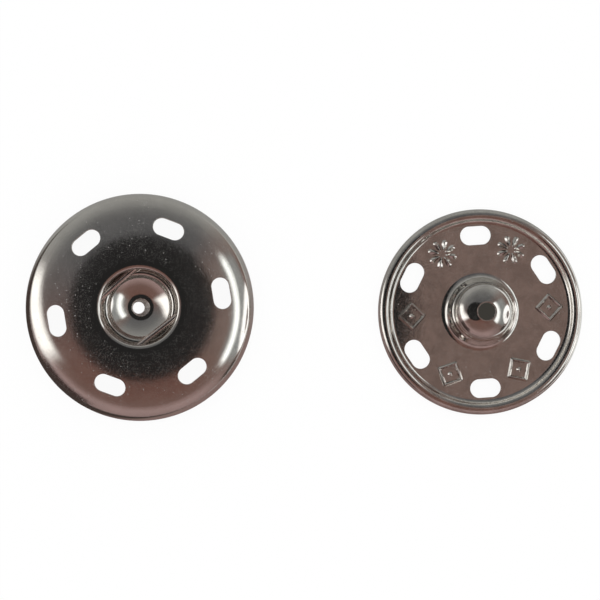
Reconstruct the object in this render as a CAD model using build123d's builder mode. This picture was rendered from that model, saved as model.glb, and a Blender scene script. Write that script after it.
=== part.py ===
"""Large sew-on snap fastener: a domed socket with its wire spring, and the stud that clicks into it."""

import os
from math import acos, asin, atan2, cos, degrees, hypot, radians, sin, sqrt, tan

from build123d import *

# Both halves are pressed from the same nickel-plated sheet, millimetres throughout
sheet = 0.30
tight_bend = 0.035  # inside radius of the sheet's tightest folds
halves_distance = 31.8  # centre to centre, as the open pair lies on a table

# The stud's ball and neck, each size on the outer face of the sheet
ball_radius = 2.78
ball_height = 3.50  # crown over the plate
ball_undercut = 0.36  # the neck is this much smaller in radius
ball_under_bend = 0.60
crown_slope = 30  # where the ball's side turns into its flatter crown
ball_hole_radius = 0.78
neck_bend = 0.22

# The stud's foot, from its neck down to the flat plate
foot_width = 1.28
foot_bend = 0.70
cone_slope = 52
collar_slope = 20

# Stud plate and its rolled rim
stud_radius = 9.65
plate_height = 0.80  # top of the plate over the table
bead_radius = 0.60  # half of the rolled rim's height
bead_bend = 0.56
hem_width = 0.45  # flat stretch of sheet rolled under the rim

# Socket's mouth: the lip folds back on itself, and the wall bulges out under it as the spring's groove
mouth_clearance = 0.67  # round the ball
lip_slope = 20
lip_slope_bend = 1.40
lip_overhang = 0.215  # flat stretch of the fold, over the spring
ledge_rise = 0.14  # from the bottom of the groove up to the ledge inside it

# Socket's bowl, which takes the ball
bowl_clearance = 0.08
bowl_corner_bend = 0.45
bowl_side_slope = 42  # where the corner turns into the wide bend of the side
floor_slope = 9.5  # where the side turns into the floor
floor_bend = 1.80
floor_flat_width = 0.20  # flat ring round the hole, which the socket rests on
bowl_hole_radius = 0.80

# Socket's dome, from the lip's crest out to the curled rim
socket_radius = 10.5
crest_bend = 3.0
dome_slope = 11.5  # where the dome ends and the shoulder starts
shoulder_width = 2.30  # from there to the socket's outline
shoulder_slope = 32
rim_bend = 1.40
skirt_height = 0.40
curl_turn = 60

# Round wire spring, an open ring with two straight legs that grip the stud's neck
wire_diameter = 0.60
spring_clearance = 0.06  # up and down, in the groove
groove_clearance = 0.15  # round the outside of the spring
grip_clearance = 0.14  # between each leg and the neck
leg_splay = 1.7  # degrees that each leg opens towards the gap
legs_direction = 40.5  # degrees, from the closed end of the spring to its gap
spring_gap = 1.0  # between the two cut ends
spring_bend = 0.55
spring_shift = 0.10  # the spring lies this far to one side in its groove

# Six sewing slots in each half, long way round the centre
slot_count = 6
socket_slot_inset = 2.87  # middle of each slot from the socket's outline
socket_slot_length = 2.91
socket_slot_width = 1.66
socket_slot_turn = 10.3
stud_slot_margin = 0.13  # flat sheet between each slot and the rolled rim
stud_slot_length = 2.90
stud_slot_width = 1.76
stud_slot_turn = 34.4

# Raised marks between the stud's slots: two rosettes, and plain lozenges in the other places
mark_inset = 0.68  # nearer the centre than the slots
mark_size = 2.70
mark_stroke = 0.33
mark_height = 0.08
petal_count = 8
petal_start = 0.33  # inner end of each petal from its rosette's centre
rosette_places = (1, 2)
lozenge_dot_radius = 0.28

total_length = socket_radius + halves_distance + stud_radius
socket_x = socket_radius - total_length / 2
stud_x = total_length / 2 - stud_radius
socket_axis = Axis((socket_x, 0, 0), (0, 0, 1))
stud_axis = Axis((stud_x, 0, 0), (0, 0, 1))


def section_plane(x):
    """Upright plane through the axis of the half at x, its X outwards and its Y up."""
    return Plane(origin=(x, 0, 0), x_dir=(1, 0, 0), z_dir=(0, -1, 0))


def heading(angle):
    """Direction on a section plane, in degrees from outwards."""
    return (cos(radians(angle)), sin(radians(angle)))


# Lip, fold and ledge: the sheet's tightest folds are as tight as it allows
fold_bend = sheet + tight_bend
lip_turn = radians(lip_slope)
mouth_radius = ball_radius + mouth_clearance
crest_radius = mouth_radius + fold_bend * (1 - sin(lip_turn)) + lip_slope_bend * sin(lip_turn)
groove_top = lip_slope_bend * (1 - cos(lip_turn)) + fold_bend * (1 + cos(lip_turn))  # below the crest

# Halves pushed together: the lip's crest lies on the plate, and the spring stands level with the neck
grip_height = groove_top + (wire_diameter + spring_clearance) / 2
neck_radius = ball_radius - ball_undercut
foot_radius = neck_radius + foot_width
bowl_radius = ball_radius + bowl_clearance
socket_height = ball_height + bowl_clearance + sheet

# Stud's ball: the crown, the side and the underside meet in smooth arcs
crown_turn = radians(crown_slope)
neck_reach = neck_radius + neck_bend - (ball_radius - ball_under_bend)
neck_to_equator = sqrt((neck_bend + ball_under_bend) ** 2 - neck_reach**2)
under_heading = degrees(atan2(neck_to_equator, -neck_reach)) - 90
ball_rise = ball_height - grip_height - neck_to_equator
ball_side_bend = (ball_rise - ball_radius * tan(crown_turn / 2)) / (
    cos(crown_turn) - (1 - sin(crown_turn)) * tan(crown_turn / 2)
)
crown_radius = (ball_radius - ball_side_bend * (1 - sin(crown_turn))) / sin(crown_turn)

# Stud's foot: a cone and a collar of the lengths that reach from the plate to the neck
cone_turn = radians(cone_slope)
collar_turn = radians(collar_slope)
foot_run = (
    foot_width - foot_bend * sin(cone_turn) - fold_bend * (sin(cone_turn) - sin(collar_turn))
    - neck_bend * (1 - sin(collar_turn))
)
foot_climb = (
    grip_height - foot_bend * (1 - cos(cone_turn)) - fold_bend * (cos(collar_turn) - cos(cone_turn))
    - neck_bend * cos(collar_turn)
)
slopes_between = sin(cone_turn - collar_turn)
cone_length = (foot_climb * cos(collar_turn) - foot_run * sin(collar_turn)) / slopes_between
collar_length = (foot_run * sin(cone_turn) - foot_climb * cos(cone_turn)) / slopes_between

# Stud's rim: a half roll, then down to the plate through two equal bends
bead_height = 2 * bead_radius - plate_height
bead_slope = degrees(acos(1 - bead_height / (2 * bead_bend)))
bead_crest_radius = stud_radius - bead_radius
bead_foot_radius = bead_crest_radius - 2 * bead_bend * sin(radians(bead_slope))

# Slots lie along the rim, and the marks stand midway between them
stud_slot_ring = bead_foot_radius - stud_slot_margin - stud_slot_width / 2
mark_ring = stud_slot_ring - mark_inset
mark_turns = [stud_slot_turn + 360 / slot_count * (n - 0.5) for n in range(slot_count)]
lozenge_side = mark_size / sqrt(2)
lozenge_hole = lozenge_side - 2 * mark_stroke

with BuildPart() as stud_plate:
    with BuildSketch(section_plane(stud_x)):
        with BuildLine():
            hem = Line((bead_crest_radius - hem_width, 0), (bead_crest_radius, 0))
            roll = JernArc(hem @ 1, heading(0), bead_radius, 180)
            bead_down = JernArc(roll @ 1, heading(180), bead_bend, bead_slope)
            bead_foot = JernArc(bead_down @ 1, heading(180 + bead_slope), bead_bend, -bead_slope)
            plate = Line(bead_foot @ 1, (foot_radius, plate_height))
            foot = JernArc(plate @ 1, heading(180), foot_bend, -cone_slope)
            cone = PolarLine(foot @ 1, cone_length, 180 - cone_slope)
            shoulder = JernArc(
                cone @ 1, heading(180 - cone_slope), fold_bend, cone_slope - collar_slope
            )
            collar = PolarLine(shoulder @ 1, collar_length, 180 - collar_slope)
            neck = JernArc(
                collar @ 1, heading(180 - collar_slope), neck_bend,
                under_heading - (180 - collar_slope),
            )
            under = JernArc(neck @ 1, heading(under_heading), ball_under_bend, 90 - under_heading)
            side = JernArc(under @ 1, heading(90), ball_side_bend, 90 - crown_slope)
            JernArc(side @ 1, heading(180 - crown_slope), crown_radius, crown_slope)
            offset(amount=sheet, side=Side.LEFT)
        make_face()
    revolve(axis=stud_axis)
    with BuildSketch(Plane((stud_x, 0, plate_height + grip_height))):
        Circle(ball_hole_radius)
    extrude(amount=ball_height, mode=Mode.SUBTRACT)
    with BuildSketch(Plane((stud_x, 0, 0))):
        with PolarLocations(stud_slot_ring, slot_count, stud_slot_turn):
            SlotOverall(stud_slot_length, stud_slot_width, rotation=90)
    extrude(amount=plate_height + bead_height, mode=Mode.SUBTRACT)
    for place, turn in enumerate(mark_turns):
        mark_plane = Plane((stud_x, 0, plate_height)).rotated((0, 0, turn)) * Location((mark_ring, 0, 0))
        with BuildSketch(mark_plane):
            if place in rosette_places:
                with PolarLocations((mark_size / 2 + petal_start) / 2, petal_count):
                    SlotOverall(mark_size / 2 - petal_start, mark_stroke)
            else:
                Rectangle(lozenge_side, lozenge_side, rotation=45)
                Rectangle(lozenge_hole, lozenge_hole, rotation=45, mode=Mode.SUBTRACT)
                Circle(lozenge_dot_radius)
        extrude(amount=mark_height)
stud_plate.part.label = "stud_plate"

# Socket's dome is part of a ball round its axis; the shoulder reaches from it to the rim
dome_turn = radians(dome_slope)
shoulder_turn = radians(shoulder_slope)
dome_radius = (socket_radius - shoulder_width) / sin(dome_turn)
crest_turn = asin(crest_radius / (dome_radius - crest_bend))
crest_slope = degrees(crest_turn)
shoulder_bend = (shoulder_width - rim_bend * (1 - sin(shoulder_turn))) / (
    sin(shoulder_turn) - sin(dome_turn)
)
skirt_top = socket_height - (
    crest_bend * (1 - cos(crest_turn)) + dome_radius * (cos(crest_turn) - cos(dome_turn))
    + shoulder_bend * (cos(dome_turn) - cos(shoulder_turn)) + rim_bend * cos(shoulder_turn)
)

# The rim curls under and ends on the table
curl_bend = (skirt_top - skirt_height) / sin(radians(curl_turn))
curl_start = (socket_radius - curl_bend * (1 - cos(radians(curl_turn))), 0)

# Spring's groove and ledge: the ledge is the line that touches both of their bends
groove_bend = (wire_diameter + spring_clearance + ledge_rise) / 2
groove_centre_radius = mouth_radius + fold_bend + lip_overhang
ledge_reach = bowl_radius + fold_bend - groove_centre_radius
ledge_drop = groove_bend - fold_bend - (wire_diameter + spring_clearance)
bends_apart = hypot(ledge_reach, ledge_drop)
ledge_heading = (
    degrees(atan2(ledge_drop, ledge_reach) - asin((groove_bend + fold_bend) / bends_apart)) % 360
)
ledge_length = sqrt(bends_apart**2 - (groove_bend + fold_bend) ** 2)
ledge_height = socket_height - groove_top - wire_diameter - spring_clearance

# Socket's bowl, from the ledge down to its flat floor
bowl_side_turn = radians(bowl_side_slope)
floor_turn = radians(floor_slope)
floor_edge_radius = bowl_hole_radius + floor_flat_width + floor_bend * sin(floor_turn)
bowl_side_bend = (
    bowl_radius - bowl_corner_bend * (1 - sin(bowl_side_turn)) - floor_edge_radius
) / (sin(bowl_side_turn) - sin(floor_turn))
bowl_wall_height = (
    ledge_height - fold_bend - bowl_corner_bend * cos(bowl_side_turn)
    - bowl_side_bend * (cos(floor_turn) - cos(bowl_side_turn))
    - floor_bend * (1 - cos(floor_turn)) - sheet
)
socket_slot_ring = socket_radius - socket_slot_inset

with BuildPart() as socket_plate:
    with BuildSketch(section_plane(socket_x)):
        with BuildLine():
            curl = JernArc(curl_start, heading(90 - curl_turn), curl_bend, curl_turn)
            skirt = PolarLine(curl @ 1, skirt_height, 90)
            rim = JernArc(skirt @ 1, heading(90), rim_bend, 90 - shoulder_slope)
            dome_shoulder = JernArc(
                rim @ 1, heading(180 - shoulder_slope), shoulder_bend, shoulder_slope - dome_slope
            )
            dome = JernArc(
                dome_shoulder @ 1, heading(180 - dome_slope), dome_radius, dome_slope - crest_slope
            )
            crest = JernArc(dome @ 1, heading(180 - crest_slope), crest_bend, crest_slope)
            lip = JernArc(crest @ 1, heading(180), lip_slope_bend, lip_slope)
            fold = JernArc(lip @ 1, heading(180 + lip_slope), fold_bend, 180 - lip_slope)
            overhang = PolarLine(fold @ 1, lip_overhang, 0)
            groove = JernArc(overhang @ 1, heading(0), groove_bend, ledge_heading - 360)
            ledge = PolarLine(groove @ 1, ledge_length, ledge_heading)
            ledge_edge = JernArc(ledge @ 1, heading(ledge_heading), fold_bend, 270 - ledge_heading)
            bowl_wall = PolarLine(ledge_edge @ 1, bowl_wall_height, 270)
            bowl_corner = JernArc(
                bowl_wall @ 1, heading(270), bowl_corner_bend, bowl_side_slope - 90
            )
            bowl_side = JernArc(
                bowl_corner @ 1, heading(180 + bowl_side_slope), bowl_side_bend,
                floor_slope - bowl_side_slope,
            )
            bowl_floor = JernArc(bowl_side @ 1, heading(180 + floor_slope), floor_bend, -floor_slope)
            Line(bowl_floor @ 1, (0, sheet))
            offset(amount=sheet, side=Side.LEFT)
        make_face()
    revolve(axis=socket_axis)
    with BuildSketch(Plane((socket_x, 0, 0))):
        Circle(bowl_hole_radius)
        with PolarLocations(socket_slot_ring, slot_count, socket_slot_turn):
            SlotOverall(socket_slot_length, socket_slot_width, rotation=90)
    extrude(amount=socket_height, mode=Mode.SUBTRACT)
socket_plate.part.label = "socket_plate"

# Spring's wire lies over the ledge; its legs are chords of the circle that it follows in the groove
spring_radius = groove_centre_radius + groove_bend - groove_clearance - wire_diameter / 2
leg_distance = neck_radius + grip_clearance + wire_diameter / 2
shift_turn = radians(legs_direction + 90)
spring_centre = (
    socket_x + spring_shift * cos(shift_turn), spring_shift * sin(shift_turn),
    ledge_height + (wire_diameter + spring_clearance) / 2,
)
spring_plane = Plane(spring_centre).rotated((0, 0, legs_direction))
leg_half_turn = degrees(acos(leg_distance / spring_radius))
leg_near_end = 90 + leg_splay - leg_half_turn  # degrees from the gap's middle
leg_far_end = 90 + leg_splay + leg_half_turn
gap_half_turn = degrees(spring_gap / 2 / spring_radius)

with BuildPart() as spring:
    with BuildLine(spring_plane) as wire:
        first_end = CenterArc((0, 0), spring_radius, gap_half_turn, leg_near_end - gap_half_turn)
        closed_end = CenterArc((0, 0), spring_radius, leg_far_end, 360 - 2 * leg_far_end)
        second_end = CenterArc((0, 0), spring_radius, -leg_near_end, leg_near_end - gap_half_turn)
        Line(first_end @ 1, closed_end @ 0)
        Line(closed_end @ 1, second_end @ 0)
        leg_ends = wire.vertices().sort_by(Axis(spring_plane.origin, spring_plane.x_dir))[:-2]
        fillet(leg_ends, spring_bend)
    with BuildSketch(Plane(first_end @ 0, z_dir=first_end % 0)):
        Circle(wire_diameter / 2)
    sweep()
spring.part.label = "spring"

print("neck", round(grip_height, 3), "mm over the plate, socket", round(socket_height, 3), "mm high")
print("bowl wall", round(bowl_wall_height, 3), "mm, ledge", round(ledge_length, 3),
      "mm, cone", round(cone_length, 3), "mm, collar", round(collar_length, 3), "mm")

os.makedirs("parts", exist_ok=True)
for piece in (socket_plate, spring, stud_plate):
    export_step(piece.part, f"parts/{piece.part.label}.step")
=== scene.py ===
# Large sew-on snap fastener: the two nickel-plated halves lie open side by side, mating faces up
from math import ceil, cos, degrees, hypot, pi, radians, sin

import bmesh
import bpy
from mathutils import Matrix, Vector


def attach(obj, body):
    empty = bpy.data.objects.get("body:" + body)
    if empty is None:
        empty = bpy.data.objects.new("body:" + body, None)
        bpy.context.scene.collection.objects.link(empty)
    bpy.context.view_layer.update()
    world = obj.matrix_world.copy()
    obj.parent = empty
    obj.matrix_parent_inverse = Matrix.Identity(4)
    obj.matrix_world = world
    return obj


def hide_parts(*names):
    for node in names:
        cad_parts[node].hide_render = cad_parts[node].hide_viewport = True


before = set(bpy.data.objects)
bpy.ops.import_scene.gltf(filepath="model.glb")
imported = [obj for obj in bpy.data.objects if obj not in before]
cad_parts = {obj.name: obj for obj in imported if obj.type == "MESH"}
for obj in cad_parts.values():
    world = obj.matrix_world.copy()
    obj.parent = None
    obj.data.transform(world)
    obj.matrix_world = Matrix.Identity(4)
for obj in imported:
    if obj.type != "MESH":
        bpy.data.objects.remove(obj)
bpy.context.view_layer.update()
bpy.ops.object.select_all(action="DESELECT")
scene = bpy.context.scene
scene.view_settings.view_transform = "Standard"

# Every piece is modelled in millimetres and brought to metres at its end
millimetre = 0.001

# How far a point may lie from where it is looked for, in millimetres, and in degrees for a turn
slack = {"weld": 0.0005, "ring": 0.001, "place": 0.01, "turn": 0.05}

# Where the axes of the two halves stand, and how far the spring is turned in its groove
layout = {"socketX": -15.475, "studX": 16.325, "springTurn": 40.5}


def alone(piece):
    # makes one object active and the only one selected
    if bpy.context.mode != "OBJECT":
        bpy.ops.object.mode_set(mode="OBJECT")
    bpy.ops.object.select_all(action="DESELECT")
    piece.select_set(True)
    bpy.context.view_layer.objects.active = piece


def editAll(piece):
    alone(piece)
    bpy.ops.object.mode_set(mode="EDIT")
    bpy.ops.mesh.select_mode(type="VERT")
    bpy.ops.mesh.select_all(action="SELECT")


def pick(piece, kind, test):
    # selects what passes the test in edit mode: verts, edges or faces
    bpy.ops.mesh.select_mode(type=kind)
    bpy.ops.mesh.select_all(action="DESELECT")
    mesh = bmesh.from_edit_mesh(piece.data)
    found = {"VERT": mesh.verts, "EDGE": mesh.edges, "FACE": mesh.faces}[kind]
    for item in found:
        if test(item):
            item.select_set(True)
    mesh.select_flush(True)
    bmesh.update_edit_mesh(piece.data)


def applyModifiers(piece):
    alone(piece)
    for modifier in list(piece.modifiers):
        bpy.ops.object.modifier_apply(modifier=modifier.name)


def traceMoves(start, heading, moves, finest, sharpest):
    # points along a chain of straight runs and tangent bends, as it is drawn with ruler and compass;
    # finest is the longest step in millimetres, and sharpest the largest in degrees
    x, y = start
    points = [(x, y)]
    for move in moves:
        if move[0] == "run":
            steps = max(2, ceil(move[1] / finest))
            for n in range(steps):
                x += move[1] / steps * cos(radians(heading))
                y += move[1] / steps * sin(radians(heading))
                points.append((x, y))
        else:
            radius, turn = move[1], move[2]
            steps = max(ceil(abs(turn) / sharpest), ceil(radius * radians(abs(turn)) / finest), 3)
            side = 1 if turn > 0 else -1
            centreX = x - side * radius * sin(radians(heading))
            centreY = y + side * radius * cos(radians(heading))
            for n in range(steps):
                heading += turn / steps
                x = centreX + side * radius * sin(radians(heading))
                y = centreY - side * radius * cos(radians(heading))
                points.append((x, y))
    return points


def drawLine(name, points):
    # a small plane is merged to one vertex, which is extruded from point to point
    bpy.ops.mesh.primitive_plane_add(size=0.1, location=(0, 0, 0))
    line = bpy.context.active_object
    line.name = name
    editAll(line)
    bpy.ops.mesh.merge(type="CENTER")
    bpy.ops.transform.translate(value=points[0])
    for here, there in zip(points, points[1:]):
        step = tuple(b - a for a, b in zip(here, there))
        bpy.ops.mesh.extrude_vertices_move(TRANSFORM_OT_translate={"value": step})
    return line


def spinSection(name, section, centreX, firstTurn, steps):
    # the section stands upright in the direction firstTurn and is spun once round the half's axis
    out = (cos(radians(firstTurn)), sin(radians(firstTurn)))
    piece = drawLine(name, [(centreX + r * out[0], r * out[1], z) for r, z in section])
    bpy.ops.mesh.select_all(action="SELECT")
    bpy.ops.mesh.spin(steps=steps, angle=2 * pi, center=(centreX, 0, 0), axis=(0, 0, 1))
    bpy.ops.mesh.select_all(action="SELECT")
    bpy.ops.mesh.remove_doubles(threshold=slack["weld"])
    bpy.ops.mesh.normals_make_consistent(inside=False)
    return piece


def nearest(section, radius, lowest):
    # the section's own radius nearest to the one asked for, over a height
    return min((r for r, z in section if z > lowest), key=lambda r: abs(r - radius))


def seamTurn(slots):
    # the turn of the seam halfway between the first two slots
    return slots["turn"] + 180 / slots["count"]


def cutSlots(piece, section, centreX, slots):
    # a band of the spun sheet is taken off, and a panel with a slot is bridged in for each sector of it
    overZ = slots["bandOver"]
    low, high = (nearest(section, slots[rim], overZ) for rim in ("bandInner", "bandOuter"))
    halfSector = 180 / slots["count"]
    halfLength, halfWidth = slots["length"] / 2, slots["width"] / 2

    def reach(vert):
        return hypot(vert.co.x - centreX, vert.co.y)

    pick(piece, "FACE", lambda f: all(
        low - slack["ring"] < reach(v) < high + slack["ring"] and v.co.z > overZ for v in f.verts))
    bpy.ops.mesh.separate(type="SELECTED")
    guide = next(o for o in bpy.context.selected_objects if o != piece)
    guide.name = piece.name + "_guide"
    level = max(v.co.z for v in guide.data.vertices) + slots["drawnOver"]
    piece.vertex_groups.new(name="spun")
    bpy.ops.mesh.select_all(action="SELECT")
    bpy.ops.object.vertex_group_assign()
    for n in range(slots["count"]):
        # straight seams between the panels
        turn = radians(seamTurn(slots) + 2 * halfSector * n)
        ends = [(centreX + r * cos(turn), r * sin(turn)) for r in (low, high)]
        pick(piece, "VERT", lambda v: v.co.z > overZ and any(
            hypot(v.co.x - x, v.co.y - y) < slack["place"] for x, y in ends))
        bpy.ops.mesh.edge_face_add()
        bpy.ops.mesh.subdivide(number_cuts=slots["sideSteps"] - 1)
        bpy.ops.object.vertex_group_remove_from()
    for n in range(slots["count"]):
        # a circle pulled apart to the slot's length, and the panel between it and its sector's outline
        turn = radians(slots["turn"] + 2 * halfSector * n)
        outward = Vector((cos(turn), sin(turn), 0))
        along = Vector((-sin(turn), cos(turn), 0))
        place = Vector((centreX, 0, level)) + slots["ring"] * outward
        bpy.ops.mesh.select_all(action="DESELECT")
        bpy.ops.mesh.primitive_circle_add(
            vertices=slots["roundSteps"], radius=halfWidth, location=place,
            rotation=(0, 0, turn + pi / slots["roundSteps"]))
        bpy.ops.object.vertex_group_remove_from()

        def inSlot(vert):
            away = vert.co - place
            return (vert.co.z > overZ and abs(away.dot(along)) < halfLength + slack["place"]
                    and abs(away.dot(outward)) < halfWidth + slack["place"])

        for side in (1, -1):
            pick(piece, "VERT", lambda v: inSlot(v) and side * along.dot(v.co - place) > 0)
            bpy.ops.transform.translate(value=along * side * (halfLength - halfWidth))
        pick(piece, "EDGE", lambda e: all(inSlot(v) for v in e.verts)
             and e.calc_length() > slots["length"] - slots["width"])
        bpy.ops.mesh.subdivide(number_cuts=slots["straightSteps"] - 1)

        def outline(edge):
            if all(inSlot(v) for v in edge.verts):
                return True
            if len(edge.link_faces) > 1 or any(v.co.z < overZ for v in edge.verts):
                return False
            spokes = [Vector((v.co.x - centreX, v.co.y)) for v in edge.verts]
            aways = [degrees(spoke.angle(outward.xy)) for spoke in spokes]
            if max(aways) > halfSector + slack["turn"]:
                return False
            onArc = any(all(abs(spoke.length - r) < slack["ring"] for spoke in spokes) for r in (low, high))
            inBand = all(low - slack["ring"] < spoke.length < high + slack["ring"] for spoke in spokes)
            return onArc or (inBand and min(aways) > halfSector - slack["turn"])

        pick(piece, "EDGE", outline)
        bpy.ops.mesh.bridge_edge_loops(number_cuts=slots["rings"], interpolation="LINEAR", smoothness=0)
        bpy.ops.object.vertex_group_remove_from()
        pick(piece, "VERT", lambda v: v.co.z > overZ and any(
            abs(reach(v) - r) < slack["ring"] for r in (low, high)))
        bpy.ops.object.vertex_group_assign()
    bpy.ops.object.mode_set(mode="OBJECT")
    # the panels' points drop onto the surface that was taken off
    wrap = piece.modifiers.new("ontoGuide", "SHRINKWRAP")
    wrap.target = guide
    wrap.wrap_method = "PROJECT"
    wrap.use_project_z = True
    wrap.use_negative_direction = True
    wrap.use_positive_direction = True
    wrap.vertex_group = "spun"
    wrap.invert_vertex_group = True
    applyModifiers(piece)
    editAll(piece)
    bpy.ops.mesh.remove_doubles(threshold=slack["weld"])
    bpy.ops.mesh.normals_make_consistent(inside=False)
    bpy.ops.object.mode_set(mode="OBJECT")
    piece.vertex_groups.clear()
    return guide


def roundCorners(piece, name, cornerOver, width, segments):
    # a live bevel along edges that are sharper than cornerOver degrees
    corners = piece.modifiers.new(name, "BEVEL")
    corners.limit_method = "ANGLE"
    corners.angle_limit = radians(cornerOver)
    corners.width = width
    corners.segments = segments
    return corners


pressing = {
    "cornerOver": 48,  # degrees: the sheet's bends are softer than this, and its cut edges sharper
    "edgeSegments": 3,
    "normalsWithin": 0.012,  # how near to the guide a corner of a face takes its normal from it
}


def pressSheet(piece, guide, sheet):
    # gives the surface its thickness, rounds its cut edges and takes the panels' normals from the guide
    wall = piece.modifiers.new("sheet", "SOLIDIFY")
    wall.thickness = sheet["thickness"]
    wall.offset = sheet["towards"]
    wall.use_even_offset = True
    edges = roundCorners(
        piece, "cutEdges", pressing["cornerOver"], sheet["edgeRound"], pressing["edgeSegments"])
    edges.use_clamp_overlap = False
    applyModifiers(piece)
    bpy.ops.object.shade_smooth()
    alone(guide)
    bpy.ops.object.shade_smooth()
    copied = piece.modifiers.new("cleanNormals", "DATA_TRANSFER")
    copied.object = guide
    copied.use_loop_data = True
    copied.data_types_loops = {"CUSTOM_NORMAL"}
    copied.loop_mapping = "POLYINTERP_NEAREST"
    copied.use_max_distance = True
    copied.max_distance = pressing["normalsWithin"]
    applyModifiers(piece)
    bpy.data.objects.remove(guide)


def finishPiece(piece, material, replaces=None):
    # millimetres to metres, then onto the frame
    alone(piece)
    piece.data.transform(Matrix.Scale(millimetre, 4))
    piece.data.materials.clear()
    piece.data.materials.append(material)
    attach(piece, "root")
    if replaces:
        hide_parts(replaces)


def makePlate(name, node, sheet, slots, material):
    # one half: its section is drawn, spun round its axis, slotted and given its thickness
    section = traceMoves(
        sheet["start"], sheet["heading"], sheet["moves"], sheet["finest"], sheet["sharpest"])
    print(name, "section ends at", [round(v, 3) for v in section[-1]], "points", len(section))
    plate = spinSection(name, section, sheet["centreX"], seamTurn(slots), sheet["spinSteps"])
    guide = cutSlots(plate, section, sheet["centreX"], slots)
    pressSheet(plate, guide, sheet)
    finishPiece(plate, material, node)
    print(name, "made", len(plate.data.polygons))


def newGroup(name, inputs, outputs):
    # an empty shader group with its sockets, and the nodes at its two ends
    group = bpy.data.node_groups.new(name, "ShaderNodeTree")
    for label, kind, value in inputs:
        socket = group.interface.new_socket(label, in_out="INPUT", socket_type=kind)
        if value is not None:
            socket.default_value = value
    for label, kind in outputs:
        group.interface.new_socket(label, in_out="OUTPUT", socket_type=kind)
    return group, group.nodes.new("NodeGroupInput"), group.nodes.new("NodeGroupOutput")


def plug(tree, value, socket):
    # links another node's output to a socket, or writes a plain value into it
    if isinstance(value, bpy.types.NodeSocket):
        tree.links.new(value, socket)
    else:
        socket.default_value = value


def addNode(tree, kind, inputs=None, **settings):
    # a node with its settings made and its inputs written or linked
    node = tree.nodes.new(kind)
    for key, value in settings.items():
        setattr(node, key, value)
    for key, value in (inputs or {}).items():
        plug(tree, value, node.inputs[key])
    return node


def maths(tree, operation, *values, clamp=False):
    node = addNode(tree, "ShaderNodeMath", dict(enumerate(values)), operation=operation, use_clamp=clamp)
    return node.outputs[0]


def mixColours(tree, share, first, second, blend="MIX"):
    # a Mix node has sockets for numbers, vectors and colours: 6, 7 and the output 2 are the colours'
    node = addNode(
        tree, "ShaderNodeMix", {0: share, 6: first, 7: second}, data_type="RGBA", blend_type=blend)
    return node.outputs[2]


def ramp(tree, value, low, high, toLow=0.0, toHigh=1.0):
    node = addNode(tree, "ShaderNodeMapRange", {
        "Value": value, "From Min": low, "From Max": high, "To Min": toLow, "To Max": toHigh,
    }, interpolation_type="SMOOTHSTEP")
    return node.outputs["Result"]


def facingUp(tree, low=0.55, high=0.9):
    # 1 on level sheet, 0 on walls and undersides; the two limits are the upright part of the normal
    surface = addNode(tree, "ShaderNodeNewGeometry")
    parts = addNode(tree, "ShaderNodeSeparateXYZ", {0: surface.outputs["Normal"]})
    return ramp(tree, parts.outputs[2], low, high)


dustLook = {
    "smallest": 0.10, "spread": 0.20, "edge": 0.14, "dark": 0.55,  # of the specks, in shares of a cell
    "hazeFiner": 1.7, "hazeRange": (0.48, 0.68),
    "patchSize": 0.35, "patchRange": (0.35, 0.62), "patchLeast": 0.45,
}


def dustGroup():
    # a haze of fine grain with a few specks in it: a mask from 0 to 1
    group, inside, outside = newGroup(
        "lyingDust",
        [("Vector", "NodeSocketVector", None), ("Grain", "NodeSocketFloat", 8.0),
         ("Haze", "NodeSocketFloat", 0.1), ("Specks", "NodeSocketFloat", 0.1)],
        [("Mask", "NodeSocketFloat")])
    where = inside.outputs["Vector"]
    cells = addNode(group, "ShaderNodeTexVoronoi", {
        "Vector": where, "Scale": inside.outputs["Grain"], "Randomness": 1.0})
    ofCell = addNode(group, "ShaderNodeSeparateColor", {0: cells.outputs["Color"]})
    few = maths(group, "LESS_THAN", ofCell.outputs[0], inside.outputs["Specks"])
    size = maths(group, "MULTIPLY_ADD", ofCell.outputs[1], dustLook["spread"], dustLook["smallest"])
    near = maths(group, "SUBTRACT", size, cells.outputs["Distance"])
    rounded = ramp(group, near, 0.0, dustLook["edge"], 0.0, dustLook["dark"])
    finer = maths(group, "MULTIPLY", inside.outputs["Grain"], dustLook["hazeFiner"])
    grain = addNode(group, "ShaderNodeTexNoise", {
        "Vector": where, "Scale": finer, "Detail": 1.0, "Roughness": 0.7})
    hazy = ramp(group, grain.outputs[0], *dustLook["hazeRange"])
    patches = addNode(group, "ShaderNodeTexNoise", {
        "Vector": where, "Scale": dustLook["patchSize"], "Detail": 2.0})
    patchy = ramp(group, patches.outputs[0], *dustLook["patchRange"], dustLook["patchLeast"], 1.0)
    specks = maths(group, "MULTIPLY", few, rounded)
    haze = maths(group, "MULTIPLY", hazy, inside.outputs["Haze"])
    mask = maths(group, "MULTIPLY", maths(group, "ADD", specks, haze), patchy)
    plug(group, maths(group, "MULTIPLY", mask, facingUp(group), clamp=True), outside.inputs["Mask"])
    return group


scratchLook = {
    # for each set: its turn in degrees, its lines to the millimetre, and a share of the patches' shift
    "sets": ((18, 26, 0.1), (63, 34, 0.35), (118, 22, 0.6), (151, 30, 0.85)),
    "length": 2.2, "lineRange": (0.665, 0.70),
    "patchSize": 0.45, "patchRange": (0.46, 0.60), "patchShift": (17, 9, 4),
}


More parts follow.
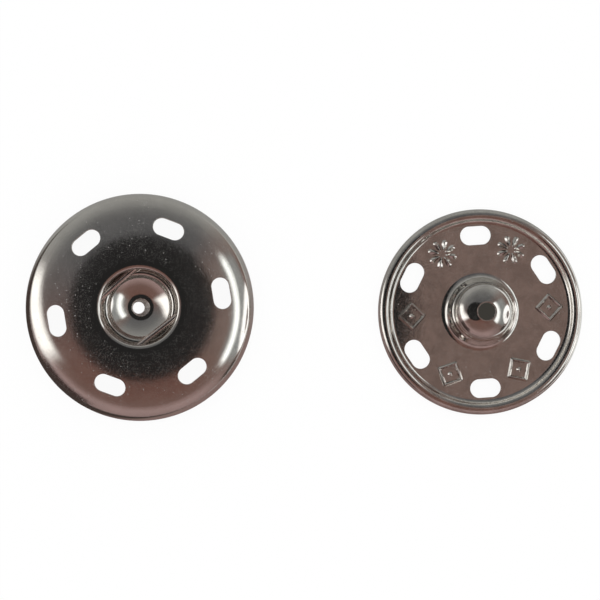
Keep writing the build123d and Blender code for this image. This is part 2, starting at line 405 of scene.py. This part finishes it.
def scratchGroup():
    # straight hairlines in a few directions: a mask from 0 to 1
    group, inside, outside = newGroup(
        "hairlines",
        [("Vector", "NodeSocketVector", None), ("Amount", "NodeSocketFloat", 0.5)],
        [("Mask", "NodeSocketFloat")])
    where = inside.outputs["Vector"]
    total = None
    for turn, fine, share in scratchLook["sets"]:
        spread = addNode(group, "ShaderNodeMapping", {
            "Vector": where, "Rotation": (0, 0, radians(turn)),
            "Scale": (scratchLook["length"], 1 / fine, 1.0),
        }, vector_type="TEXTURE")
        lines = addNode(group, "ShaderNodeTexNoise", {
            "Vector": spread.outputs[0], "Scale": 1.0, "Detail": 1.5, "Roughness": 0.4})
        shifted = addNode(group, "ShaderNodeMapping", {
            "Vector": where, "Location": [share * part for part in scratchLook["patchShift"]]})
        patches = addNode(group, "ShaderNodeTexNoise", {
            "Vector": shifted.outputs[0], "Scale": scratchLook["patchSize"], "Detail": 1.0})
        line = ramp(group, lines.outputs[0], *scratchLook["lineRange"])
        line = maths(group, "MULTIPLY", line, ramp(group, patches.outputs[0], *scratchLook["patchRange"]))
        total = line if total is None else maths(group, "MAXIMUM", total, line)
    level = maths(group, "MULTIPLY", facingUp(group), inside.outputs["Amount"])
    plug(group, maths(group, "MULTIPLY", total, level, clamp=True), outside.inputs["Mask"])
    return group


lyingDust = dustGroup()
hairlines = scratchGroup()

plating = {
    "colour": (0.80, 0.775, 0.735, 1),
    "roughness": 0.045,
    "dustColour": (0.30, 0.29, 0.27, 1),
    "dustGrain": 4.8,
    "haze": 0.06,
    "specks": 0.06,
    "dustDull": 0.75,  # how much of the metal's mirror full dust takes away
    "dustRough": 0.35,  # what full dust adds to the roughness
    "clean": None,  # middle, radius and soft edge of a round part that no dust lies in
    "scratches": 0.35,
    "scratchRough": 0.16,
    "scratchDepth": 0.0006,  # millimetres
    "clouds": 0.93,  # darkest of the clouds that handling leaves
    "cloudNoise": {"Scale": 0.6, "Detail": 4.0, "Roughness": 0.6},
    "cloudRange": (0.3, 0.7),
    "waviness": 0.004,  # height of the sheet's slow waves, which follow the clouds, millimetres
    "grain": 0.0006,  # height of its fine grain
    "grainNoise": {"Scale": 7.0, "Detail": 2.0, "Roughness": 0.6},
    "grainRange": (0.4, 0.75),
    "grainRough": 0.8,  # what the grain adds to the roughness, as a share of it
    "level": (0.55, 0.9),  # how level the sheet is where waves and grain show
    "rubbedWalls": 0.12,  # steep walls are satin, where the press tools drew the sheet
    "steep": (0.2, 0.6),
    "drawnTurn": None,  # turn of the grain along drawn wire, degrees
    "drawnScale": (8, 0.5, 0.5),
}


def nickelMaterial(name, values):
    material = bpy.data.materials.new(name)
    material.use_nodes = True
    tree = material.node_tree
    place = addNode(tree, "ShaderNodeTexCoord")
    inMillimetres = addNode(tree, "ShaderNodeMapping", {
        "Vector": place.outputs["Object"], "Scale": (1 / millimetre, 1 / millimetre, 1 / millimetre)})
    where = grainWhere = inMillimetres.outputs[0]
    isWire = values["drawnTurn"] is not None
    if isWire:
        drawn = addNode(tree, "ShaderNodeMapping", {
            "Vector": where, "Rotation": (0, 0, radians(values["drawnTurn"])),
            "Scale": values["drawnScale"],
        }, vector_type="TEXTURE")
        grainWhere = drawn.outputs[0]
    dust = addNode(tree, "ShaderNodeGroup", {
        "Vector": where, "Grain": values["dustGrain"], "Haze": values["haze"], "Specks": values["specks"],
    }, node_tree=lyingDust)
    dusted = dust.outputs["Mask"]
    if values["clean"]:
        middle, radius, soft = values["clean"]
        fromMiddle = addNode(tree, "ShaderNodeMapping", {
            "Vector": where, "Location": (-middle, 0, 0), "Scale": (1, 1, 0)})
        away = addNode(tree, "ShaderNodeVectorMath", {0: fromMiddle.outputs[0]}, operation="LENGTH")
        outer = ramp(tree, away.outputs["Value"], radius, radius + soft)
        dusted = maths(tree, "MULTIPLY", dusted, outer)
    lines = addNode(tree, "ShaderNodeGroup", {
        "Vector": where, "Amount": values["scratches"]}, node_tree=hairlines)
    scratched = lines.outputs["Mask"]
    clouds = addNode(tree, "ShaderNodeTexNoise", {"Vector": where, **values["cloudNoise"]}).outputs[0]
    grain = addNode(tree, "ShaderNodeTexNoise", {"Vector": grainWhere, **values["grainNoise"]}).outputs[0]
    # colour: faint clouds over the plating, and dust over both
    level = ramp(tree, clouds, *values["cloudRange"], values["clouds"], 1.0)
    cloudy = addNode(tree, "ShaderNodeCombineColor", {0: level, 1: level, 2: level})
    colour = mixColours(tree, 1.0, values["colour"], cloudy.outputs[0], blend="MULTIPLY")
    colour = mixColours(tree, dusted, colour, values["dustColour"])
    metal = maths(tree, "MULTIPLY_ADD", dusted, -values["dustDull"], 1.0, clamp=True)
    # roughness from dust, hairlines and grain; height from grain, waves and hairlines
    rough = maths(tree, "MULTIPLY_ADD", dusted, values["dustRough"], values["roughness"])
    rough = maths(tree, "MULTIPLY_ADD", scratched, values["scratchRough"], rough)
    rough = maths(tree, "MULTIPLY_ADD", ramp(tree, grain, *values["grainRange"]),
                  values["roughness"] * values["grainRough"], rough)
    height = maths(tree, "MULTIPLY", grain, values["grain"])
    height = maths(tree, "MULTIPLY_ADD", clouds, values["waviness"], height)
    if not isWire:
        walls = maths(tree, "SUBTRACT", 1.0, facingUp(tree, *values["steep"]))
        rough = maths(tree, "MULTIPLY_ADD", walls, values["rubbedWalls"], rough)
        height = maths(tree, "MULTIPLY", height, facingUp(tree, *values["level"]))
    height = maths(tree, "MULTIPLY_ADD", scratched, -values["scratchDepth"], height)
    bump = addNode(tree, "ShaderNodeBump", {"Height": height, "Strength": 1.0, "Distance": millimetre})
    shader = tree.nodes["Principled BSDF"]
    plug(tree, colour, shader.inputs["Base Color"])
    plug(tree, metal, shader.inputs["Metallic"])
    plug(tree, rough, shader.inputs["Roughness"])
    plug(tree, bump.outputs[0], shader.inputs["Normal"])
    return material


socketNickel = nickelMaterial("socketNickel", dict(
    plating, roughness=0.085, grain=0.0012, specks=0.30, clean=(layout["socketX"], 4.1, 0.4)))
# The torn collar's nickel is rougher and paler; the paler colour is painted light, as if the collar were
# lit from the white floor below
tornAndLitNickel = nickelMaterial("tornAndLitNickel", dict(
    plating, colour=(0.93, 0.92, 0.90, 1), roughness=0.45, haze=0.0, specks=0.0, scratches=0.0))
studNickel = nickelMaterial("studNickel", dict(
    plating, scratches=0.8, clouds=0.80, waviness=0.008, level=(0.93, 0.985)))
springSteel = nickelMaterial("springSteel", dict(
    plating, colour=(0.92, 0.83, 0.79, 1), roughness=0.18, specks=0.02, waviness=0.001,
    drawnTurn=layout["springTurn"]))
print("materials made")

socketSheet = {
    "centreX": layout["socketX"],
    "start": (9.9005, 0.0),
    "heading": 30,
    "moves": [
        ("bend", 1.199, 60), ("run", 0.40), ("bend", 1.40, 58),  # curl, skirt and rim
        ("bend", 4.967, 20.5), ("bend", 41.13, 5.253), ("bend", 3.0, 6.247),  # shoulder, dome and crest
        ("bend", 1.40, 20), ("bend", 0.335, 160), ("run", 0.215),  # lip and its fold
        ("bend", 0.40, -190.774), ("run", 0.6796), ("bend", 0.335, 100.774),  # groove and ledge
        ("run", 0.932), ("bend", 0.30, -58), ("bend", 5.212, -18),  # bowl
        ("bend", 0.90, -14), ("run", 0.20),
    ],
    "finest": 0.14, "sharpest": 7.5, "spinSteps": 144,
    "thickness": 0.30,
    "towards": -1,  # the wall grows to the underside of the section
    "edgeRound": 0.055,
}
socketSlots = {
    "count": 6, "turn": 10.3, "ring": 7.63, "length": 2.91, "width": 1.66,
    "roundSteps": 50, "straightSteps": 12, "sideSteps": 12, "rings": 9,
    "bandInner": 6.2, "bandOuter": 9.1, "bandOver": 2.2, "drawnOver": 0.5,
}
makePlate("socket", "socket_plate", socketSheet, socketSlots, socketNickel)

# The thin collar that the punch drew down inside the hole, leaning to one side
socketBurr = {
    "top": 0.25, "bottom": 0.03, "topRadius": 0.84, "bottomRadius": 0.54,
    "lean": (-0.22, -0.03, 0), "rings": 4, "sides": 72,
    "thickness": 0.05, "cornerOver": 50, "edgeRound": 0.018, "edgeSegments": 2,
}
burrDepth = socketBurr["top"] - socketBurr["bottom"]
bpy.ops.mesh.primitive_cone_add(
    vertices=socketBurr["sides"], radius1=socketBurr["bottomRadius"], radius2=socketBurr["topRadius"],
    depth=burrDepth, end_fill_type="NOTHING",
    location=(socketSheet["centreX"], 0, (socketBurr["top"] + socketBurr["bottom"]) / 2))
burr = bpy.context.active_object
burr.name = "socket_burr"
bpy.ops.object.transform_apply(location=True, rotation=False, scale=False)
editAll(burr)
bpy.ops.mesh.subdivide(number_cuts=socketBurr["rings"] - 1)
for ring in range(1, socketBurr["rings"] + 1):
    ringHeight = socketBurr["top"] - burrDepth * ring / socketBurr["rings"]
    pick(burr, "VERT", lambda v: v.co.z < ringHeight + slack["place"])
    bpy.ops.transform.translate(value=Vector(socketBurr["lean"]) / socketBurr["rings"])
bpy.ops.object.mode_set(mode="OBJECT")
burrWall = burr.modifiers.new("wall", "SOLIDIFY")
burrWall.thickness = socketBurr["thickness"]
burrWall.offset = 1
roundCorners(
    burr, "tornEdge", socketBurr["cornerOver"], socketBurr["edgeRound"], socketBurr["edgeSegments"])
applyModifiers(burr)
bpy.ops.object.shade_smooth()
finishPiece(burr, tornAndLitNickel)
print("burr made", len(burr.data.polygons))

studSheet = {
    "centreX": layout["studX"],
    "start": (8.60, 0.0),
    "heading": 0,
    "moves": [
        ("run", 0.45), ("bend", 0.60, 180), ("bend", 0.56, 49.995), ("bend", 0.56, -49.995),  # hem and bead
        ("run", 4.4921), ("bend", 0.70, -52), ("run", 0.5708), ("bend", 0.335, 32),  # plate and foot
        ("run", 0.0882), ("bend", 0.22, -125.877), ("bend", 0.60, 55.877),  # neck
        ("bend", 1.3825, 60), ("bend", 4.1775, 16.71), ("bend", 0.32, 33.29),  # ball, rolled into its hole
    ],
    "finest": 0.14, "sharpest": 6, "spinSteps": 192,
    "thickness": 0.30,
    "towards": -1,
    "edgeRound": 0.05,
}
studSlots = {
    "count": 6, "turn": 34.4, "ring": 7.1821, "length": 2.90, "width": 1.76,
    "roundSteps": 50, "straightSteps": 12, "sideSteps": 12, "rings": 0,
    "bandInner": 5.0, "bandOuter": 8.192, "bandOver": 0.7, "drawnOver": 0.5,
}
makePlate("stud", "stud_plate", studSheet, studSlots, studNickel)

# Raised marks between the slots: two rosettes, and lozenges with a dot in the other places
studMarks = {
    "ring": 6.5021, "places": studSlots["count"], "plateTop": 0.80, "sunk": 0.02,
    "height": 0.16, "crest": 0.08, "crestBevel": 0.75, "crestSegments": 4, "sides": 32, "smoothUnder": 60,
    "rosettes": (1, 2), "petals": 8,
    "petal": {"length": 1.10, "width": 0.53, "nearEnd": 0.55}, "petalOut": 0.84,
    "bar": {"length": 2.00, "width": 0.38, "nearEnd": 1.0}, "barOut": 0.81,
    "dot": {"length": 0.52, "width": 0.50, "nearEnd": 1.0},
}


def modelRidge(name, length, width, nearEnd):
    # a raised stroke: a flat cone pulled apart along its length, its near end narrowed, its crest rounded
    height = studMarks["height"] + studMarks["sunk"]
    crest = width * studMarks["crest"]
    bpy.ops.mesh.primitive_cone_add(
        vertices=studMarks["sides"], radius1=width / 2, radius2=crest, depth=height,
        location=(0, 0, height / 2 - studMarks["sunk"]))
    ridge = bpy.context.active_object
    ridge.name = name
    bpy.ops.object.transform_apply(location=True, rotation=False, scale=False)
    bpy.ops.object.mode_set(mode="EDIT")
    for side in (1, -1):
        pick(ridge, "VERT", lambda v: side * v.co.x > slack["weld"])
        bpy.ops.transform.translate(value=(side * (length - width) / 2, 0, 0))
    pick(ridge, "VERT", lambda v: v.co.x < -slack["weld"])
    bpy.ops.transform.resize(value=(1, nearEnd, 1))
    pick(ridge, "EDGE", lambda e: all(v.co.z > height / 2 for v in e.verts))
    bpy.ops.mesh.bevel(
        offset=crest * studMarks["crestBevel"], segments=studMarks["crestSegments"], affect="EDGES")
    bpy.ops.mesh.select_all(action="SELECT")
    bpy.ops.mesh.normals_make_consistent(inside=False)
    bpy.ops.object.mode_set(mode="OBJECT")
    bpy.ops.object.shade_smooth_by_angle(angle=radians(studMarks["smoothUnder"]))
    return ridge


def copyTo(pattern, middle, out, turn, tilt=0.0):
    # a copy with its own mesh, moved out from the mark's middle in the direction turn
    alone(pattern)
    bpy.ops.object.duplicate(linked=False)
    copied = bpy.context.active_object
    place = middle + out * Vector((cos(turn), sin(turn), 0))
    copied.data.transform(Matrix.Translation(place) @ Matrix.Rotation(turn + tilt, 4, "Z"))
    return copied


petalPattern = modelRidge("petal", **studMarks["petal"])
barPattern = modelRidge("bar", **studMarks["bar"])
dotPattern = modelRidge("dot", **studMarks["dot"])
ridges = []
for markPlace in range(studMarks["places"]):
    markTurn = radians(seamTurn(studSlots) + 360 / studMarks["places"] * (markPlace - 1))
    middle = Vector((studSheet["centreX"], 0, studMarks["plateTop"]))
    middle += studMarks["ring"] * Vector((cos(markTurn), sin(markTurn), 0))
    if markPlace in studMarks["rosettes"]:
        for petal in range(studMarks["petals"]):
            petalTurn = markTurn + 2 * pi / studMarks["petals"] * petal
            ridges.append(copyTo(petalPattern, middle, studMarks["petalOut"], petalTurn))
    else:
        for side in range(4):
            barTurn = markTurn + pi / 4 + pi / 2 * side
            ridges.append(copyTo(barPattern, middle, studMarks["barOut"], barTurn, tilt=pi / 2))
        ridges.append(copyTo(dotPattern, middle, 0, markTurn))
for pattern in (petalPattern, barPattern, dotPattern):
    bpy.data.objects.remove(pattern)
alone(ridges[0])
for ridge in ridges:
    ridge.select_set(True)
bpy.ops.object.join()
studRidges = bpy.context.active_object
studRidges.name = "stud_marks"
finishPiece(studRidges, studNickel)
print("marks made", len(studRidges.data.polygons))

# The spring is one open ring: two straight legs between two bows, with a gap in the middle of one
springWire = {
    "aside": 0.10, "asideTurn": 130.5, "height": 2.8158,  # where its middle lies from the socket's axis
    "turn": layout["springTurn"], "diameter": 0.60,  # the gap faces the direction of the turn
    "bowRadius": 3.95, "wholeBow": 82.20, "splitBow": 37.25, "halfGap": 7.25,
    "cornerRadius": 0.55, "cornerBend": 47.20, "leg": 4.989,
    "finest": 0.18, "sharpest": 6, "roundness": 4, "weld": 0.001,
    "cornerOver": 60, "endRound": 0.05, "endSegments": 3, "smoothUnder": 50,
}
springCorner = ("bend", springWire["cornerRadius"], springWire["cornerBend"])
springLeg = [springCorner, ("run", springWire["leg"]), springCorner]
wholeBow = [("bend", springWire["bowRadius"], springWire["wholeBow"])]
splitBow = [("bend", springWire["bowRadius"], springWire["splitBow"])]
firstEnd = radians(springWire["halfGap"])
springPath = traceMoves(
    (springWire["bowRadius"] * cos(firstEnd), springWire["bowRadius"] * sin(firstEnd)),
    90 + springWire["halfGap"], splitBow + springLeg + wholeBow + springLeg + splitBow,
    springWire["finest"], springWire["sharpest"])
asideTurn = radians(springWire["asideTurn"])
springCentre = Vector((
    socketSheet["centreX"] + springWire["aside"] * cos(asideTurn),
    springWire["aside"] * sin(asideTurn), springWire["height"]))
placeWire = Matrix.Translation(springCentre) @ Matrix.Rotation(radians(springWire["turn"]), 4, "Z")
spring = drawLine("spring_wire", [tuple(placeWire @ Vector((x, y, 0))) for x, y in springPath])
bpy.ops.object.mode_set(mode="OBJECT")
bpy.ops.object.convert(target="CURVE")
spring = bpy.context.active_object
spring.data.bevel_depth = springWire["diameter"] / 2
spring.data.bevel_resolution = springWire["roundness"]
spring.data.use_fill_caps = True
bpy.ops.object.convert(target="MESH")
editAll(spring)
bpy.ops.mesh.remove_doubles(threshold=springWire["weld"])
bpy.ops.mesh.normals_make_consistent(inside=False)
bpy.ops.object.mode_set(mode="OBJECT")
roundCorners(
    spring, "cutEnds", springWire["cornerOver"], springWire["endRound"], springWire["endSegments"])
applyModifiers(spring)
bpy.ops.object.shade_smooth_by_angle(angle=radians(springWire["smoothUnder"]))
finishPiece(spring, springSteel, "spring")
print("spring made", len(spring.data.polygons))

# The room that the plating mirrors, seen in reflections alone; colours go by the angle from straight above
room = {
    "radius": 600, "foot": 1.0, "segments": 96, "rings": 48,
    "behind": {
        20: (0.10, 0.10, 0.105), 44: (0.165, 0.165, 0.165),
        66: (0.31, 0.31, 0.30), 90: (0.36, 0.36, 0.345)},
    "front": {
        20: (0.165, 0.085, 0.07), 46: (0.19, 0.115, 0.10),
        59: (0.37, 0.26, 0.25), 90: (0.285, 0.20, 0.195)},
    "frontToBehind": (-0.75, 0.7),
    "right": (0.205, 0.145, 0.128), "rightFrom": (0.45, 0.95),
}


def emptyTree(owner):
    # the node tree of a material or a world, with nothing in it
    owner.use_nodes = True
    owner.node_tree.nodes.clear()
    return owner.node_tree


def glowMaterial(name, colour, strength=1.0, soft=None):
    # a glow of one colour, or of those that a function lays out; soft fades it away at its edges
    material = bpy.data.materials.new(name)
    tree = emptyTree(material)
    shown = addNode(tree, "ShaderNodeEmission", {
        "Color": colour(tree) if callable(colour) else (*colour, 1), "Strength": strength}).outputs[0]
    if soft:
        clear = addNode(tree, "ShaderNodeBsdfTransparent").outputs[0]
        shown = addNode(tree, "ShaderNodeMixShader", {0: soft(tree), 1: clear, 2: shown}).outputs[0]
    addNode(tree, "ShaderNodeOutputMaterial", {0: shown})
    return material


def onlyReflected(thing):
    # a card that the metal sees and the camera doesn't
    thing.visible_camera = False
    thing.visible_diffuse = False
    thing.visible_shadow = False
    thing.visible_volume_scatter = False


def ownPlace(tree):
    # the place on the object itself, in metres from its origin
    return addNode(tree, "ShaderNodeTexCoord").outputs["Object"]


def compass(tree):
    # the three parts of the direction from the middle of the tent
    unit = addNode(tree, "ShaderNodeVectorMath", {0: ownPlace(tree)}, operation="NORMALIZE")
    return addNode(tree, "ShaderNodeSeparateXYZ", {0: unit.outputs[0]}).outputs


def polarAngle(tree, parts):
    # degrees from straight up
    return maths(tree, "MULTIPLY", maths(tree, "ARCCOSINE", parts[2]), 180 / pi)


def turnAngle(tree, parts):
    # degrees from the right, backwards being 90
    return maths(tree, "MULTIPLY", maths(tree, "ARCTAN2", parts[1], parts[0]), 180 / pi)


def discFade(inner, outer):
    def build(tree):
        length = addNode(tree, "ShaderNodeVectorMath", {0: ownPlace(tree)}, operation="LENGTH")
        return ramp(tree, length.outputs["Value"], inner, outer, 1.0, 0.0)
    return build


def bandFade(polars, turns, softPolar, softTurn, lean=0.0):
    # a patch of the tent between two polar angles and two turns, with soft edges; lean slants it
    def build(tree):
        parts = compass(tree)
        middle, half = (turns[0] + turns[1]) / 2, (turns[1] - turns[0]) / 2
        off = maths(tree, "WRAP", maths(tree, "SUBTRACT", turnAngle(tree, parts), middle), 180.0, -180.0)
        level = maths(tree, "MULTIPLY_ADD", off, lean, polarAngle(tree, parts))
        inTurn = ramp(tree, maths(tree, "ABSOLUTE", off), half - softTurn, half + softTurn, 1.0, 0.0)
        up = ramp(tree, level, polars[0] - softPolar, polars[0] + softPolar)
        down = ramp(tree, level, polars[1] - softPolar, polars[1] + softPolar, 1.0, 0.0)
        return maths(tree, "MULTIPLY", maths(tree, "MULTIPLY", up, down), inTurn)
    return build


def ovalFade(middle, halves, hole, softEdge, softHole):
    # an oval lamp on the tent with a dark oval in it, by turn and polar angle
    def build(tree):
        parts = compass(tree)

        def away(halfTurn, halfPolar):
            across = maths(tree, "SUBTRACT", turnAngle(tree, parts), middle[0])
            across = maths(tree, "DIVIDE", across, halfTurn)
            upright = maths(tree, "SUBTRACT", polarAngle(tree, parts), middle[1])
            upright = maths(tree, "DIVIDE", upright, halfPolar)
            upright = maths(tree, "MULTIPLY", upright, upright)
            return maths(tree, "MULTIPLY_ADD", across, across, upright)

        seen = ramp(tree, away(*halves), *softEdge, 1.0, 0.0)
        return maths(tree, "MULTIPLY", seen, ramp(tree, away(*hole), *softHole))
    return build


def bandColours(tree, polar, colours):
    # one colour after another by the polar angle, from straight up to level
    node = addNode(tree, "ShaderNodeValToRGB", {0: maths(tree, "DIVIDE", polar, 90.0)})
    stops = node.color_ramp.elements
    while len(stops) < len(colours):
        stops.new(0.5)
    for stop, (at, colour) in zip(stops, colours.items()):
        stop.position = at / 90
        stop.color = (*colour, 1)
    return node.outputs[0]


def roomColours(tree):
    # grey behind, brown in front, both lighter towards the floor, and one brown at the right
    parts = compass(tree)
    polar = polarAngle(tree, parts)
    level = maths(tree, "SINE", maths(tree, "MULTIPLY", polar, pi / 180))
    backward = ramp(tree, maths(tree, "DIVIDE", parts[1], level), *room["frontToBehind"])
    rightward = ramp(tree, maths(tree, "DIVIDE", parts[0], level), *room["rightFrom"])
    front = bandColours(tree, polar, room["front"])
    both = mixColours(tree, backward, front, bandColours(tree, polar, room["behind"]))
    return mixColours(tree, rightward, both, (*room["right"], 1))


def addTent(name, radius, material):
    # a dome seen from inside, open just over the table
    bpy.ops.mesh.primitive_uv_sphere_add(
        segments=room["segments"], ring_count=room["rings"], radius=radius, location=(0, 0, 0))
    tent = bpy.context.active_object
    tent.name = name
    editAll(tent)
    bpy.ops.mesh.bisect(plane_co=(0, 0, room["foot"]), plane_no=(0, 0, 1), clear_inner=True)
    bpy.ops.mesh.select_all(action="SELECT")
    bpy.ops.mesh.flip_normals()
    bpy.ops.object.mode_set(mode="OBJECT")
    tent.data.transform(Matrix.Scale(millimetre, 4))
    tent.data.materials.append(material)
    onlyReflected(tent)


addTent("room", room["radius"], glowMaterial("room", roomColours))

# Lamps and shades, each a patch of a tent of its own: a larger radius lies behind, angles in degrees
cards = {
    "right_skirt": {
        "glow": "skirtGlow", "radius": 580, "colour": (0.97, 1.0, 0.99), "strength": 0.31,
        "band": {"polars": (29, 66), "turns": (-32, 35), "softPolar": 9, "softTurn": 6, "lean": 0.10}},
    "left_softbox": {
        "glow": "leftGlow", "radius": 560, "colour": (1.0, 0.985, 0.96), "strength": 1.5,
        "band": {"polars": (47, 77), "turns": (161, 206), "softPolar": 8, "softTurn": 7, "lean": 0.45}},
    "right_bow": {
        "glow": "bowGlow", "radius": 555, "colour": (0.97, 1.0, 0.99), "strength": 1.6,
        "band": {"polars": (35, 45.5), "turns": (-36, 37), "softPolar": 4.5, "softTurn": 4, "lean": 0.10}},
    "right_lamp": {
        "glow": "lampGlow", "radius": 550, "colour": (1.0, 1.0, 1.0), "strength": 1.5,
        "oval": {"middle": (-5, 71), "halves": (20, 16), "hole": (8, 6),
                 "softEdge": (0.80, 1.20), "softHole": (0.6, 1.4)}},
    "left_shade": {
        "glow": "leftDark", "radius": 545, "colour": (0.06, 0.040, 0.037), "strength": 1.0,
        "band": {"polars": (66, 110), "turns": (206, 238), "softPolar": 6, "softTurn": 5}},
    "right_shade": {
        "glow": "rightDark", "radius": 540, "colour": (0.06, 0.05, 0.045), "strength": 1.0,
        "band": {"polars": (70, 100), "turns": (-42, -29), "softPolar": 5, "softTurn": 4}},
}
for cardName, card in cards.items():
    fade = bandFade(**card["band"]) if "band" in card else ovalFade(**card["oval"])
    addTent(cardName, card["radius"], glowMaterial(card["glow"], card["colour"], card["strength"], fade))


def addDisc(name, radius, place, material, sides=96):
    bpy.ops.mesh.primitive_circle_add(vertices=sides, radius=radius, location=(0, 0, 0), fill_type="NGON")
    disc = bpy.context.active_object
    disc.name = name
    disc.data.transform(Matrix.Scale(millimetre, 4))
    disc.location = Vector(place) * millimetre
    disc.data.materials.append(material)
    return disc


# What the rims mirror close to the table; its edges are in metres on the table
tableMat = {
    "radius": 560, "height": -0.01,
    "front": (0.25, 0.175, 0.165), "behind": (0.34, 0.34, 0.33), "frontToBehind": (-0.008, 0.010),
    "left": (0.06, 0.045, 0.04), "leftSlant": 0.6, "leftEdge": (-0.0285, -0.022),
    "right": (0.85, 0.87, 0.86), "rightPoint": 0.45, "rightEdge": (0.0215, 0.0245),
}


def matColours(tree):
    # grey behind, brown in front, dark at the left along a slanted edge, bright in a wedge at the right
    x, y = addNode(tree, "ShaderNodeSeparateXYZ", {0: ownPlace(tree)}).outputs[:2]
    backward = ramp(tree, y, *tableMat["frontToBehind"])
    both = mixColours(tree, backward, (*tableMat["front"], 1), (*tableMat["behind"], 1))
    slanted = maths(tree, "MULTIPLY_ADD", y, tableMat["leftSlant"], x)
    leftward = ramp(tree, slanted, *tableMat["leftEdge"], 1.0, 0.0)
    darkened = mixColours(tree, leftward, both, (*tableMat["left"], 1))
    wedge = maths(tree, "MULTIPLY", maths(tree, "ABSOLUTE", y), -tableMat["rightPoint"])
    rightward = ramp(tree, maths(tree, "ADD", x, wedge), *tableMat["rightEdge"])
    return mixColours(tree, rightward, darkened, (*tableMat["right"], 1))


onlyReflected(addDisc(
    "table_mat", tableMat["radius"], (0, 0, tableMat["height"]), glowMaterial("matGlow", matColours)))

# The dark disc overhead, which the plates and the ball mirror as they would a camera's lens
lensCard = {"place": (-18.4, 0.5, 85), "radius": 38.5, "soft": 0.05, "colour": (0.019, 0.019, 0.019)}
lensInner = lensCard["radius"] * (1 - lensCard["soft"])
lensOuter = lensCard["radius"] * (1 + lensCard["soft"])
onlyReflected(addDisc("lens_card", lensOuter, lensCard["place"], glowMaterial(
    "lensBlack", lensCard["colour"], soft=discFade(lensInner * millimetre, lensOuter * millimetre))))
print("room made")

# White floor: it shows white to the eye and in the metal, and keeps a faint shadow
floorPlate = {"size": 2400, "height": -0.02, "glow": 0.94}


def floorMaterial():
    material = bpy.data.materials.new("whiteFloor")
    tree = emptyTree(material)
    matte = addNode(tree, "ShaderNodeBsdfDiffuse", {"Color": (1, 1, 1, 1)})
    shine = addNode(tree, "ShaderNodeEmission", {"Color": (1, 1, 1, 1), "Strength": 1.0})
    path = addNode(tree, "ShaderNodeLightPath")
    seen = maths(tree, "ADD", path.outputs["Is Camera Ray"], path.outputs["Is Glossy Ray"])
    seen = maths(tree, "ADD", seen, path.outputs["Is Transmission Ray"], clamp=True)
    share = maths(tree, "MULTIPLY", seen, floorPlate["glow"])
    mix = addNode(tree, "ShaderNodeMixShader", {0: share, 1: matte.outputs[0], 2: shine.outputs[0]})
    addNode(tree, "ShaderNodeOutputMaterial", {0: mix.outputs[0]})
    return material


bpy.ops.mesh.primitive_plane_add(
    size=floorPlate["size"] * millimetre, location=(0, 0, floorPlate["height"] * millimetre))
floor = bpy.context.active_object
floor.name = "floor"
floor.data.materials.append(floorMaterial())

# Painted shade: a dark glowing disc on the floor, where the floor lies in the dark under the hollow ball
ballShade = {"radius": 1.9, "height": 0.005, "colour": (0.045, 0.042, 0.036), "sides": 48}
addDisc(
    "ball_shade", ballShade["radius"], (studSheet["centreX"], 0, ballShade["height"]),
    glowMaterial("ballDark", ballShade["colour"]), ballShade["sides"])

# World: white to the eye, plain light for the floor
world = bpy.data.worlds.new("studioWorld")
scene.world = world
worldTree = emptyTree(world)
plain = addNode(worldTree, "ShaderNodeBackground", {"Color": (1, 1, 1, 1), "Strength": 1.0})
addNode(worldTree, "ShaderNodeOutputWorld", {0: plain.outputs[0]})
print("floor and world made")

cameraSet = {
    "place": (-7.97, -1.82, 146.0), "aim": (0.0503, 0.0186, -1.0), "roll": 0.0133,
    "pixels": 1558.0,  # the lens's length, in pixels of an image that is 600 wide
    "imageWidth": 600, "sensor": 36, "nearest": 0.01, "farthest": 10,
}
camera = bpy.data.objects.new("camera", bpy.data.cameras.new("camera"))
scene.collection.objects.link(camera)
scene.camera = camera
ahead = Vector(cameraSet["aim"]).normalized()
right = Vector((cos(cameraSet["roll"]), sin(cameraSet["roll"]), 0))
right = (right - ahead * right.dot(ahead)).normalized()
turned = Matrix((right, right.cross(ahead), -ahead)).transposed().to_4x4()
camera.matrix_world = Matrix.Translation(Vector(cameraSet["place"]) * millimetre) @ turned
camera.data.sensor_width = cameraSet["sensor"]
camera.data.lens = cameraSet["sensor"] * cameraSet["pixels"] / cameraSet["imageWidth"]
camera.data.clip_start = cameraSet["nearest"]
camera.data.clip_end = cameraSet["farthest"]
print("camera placed")
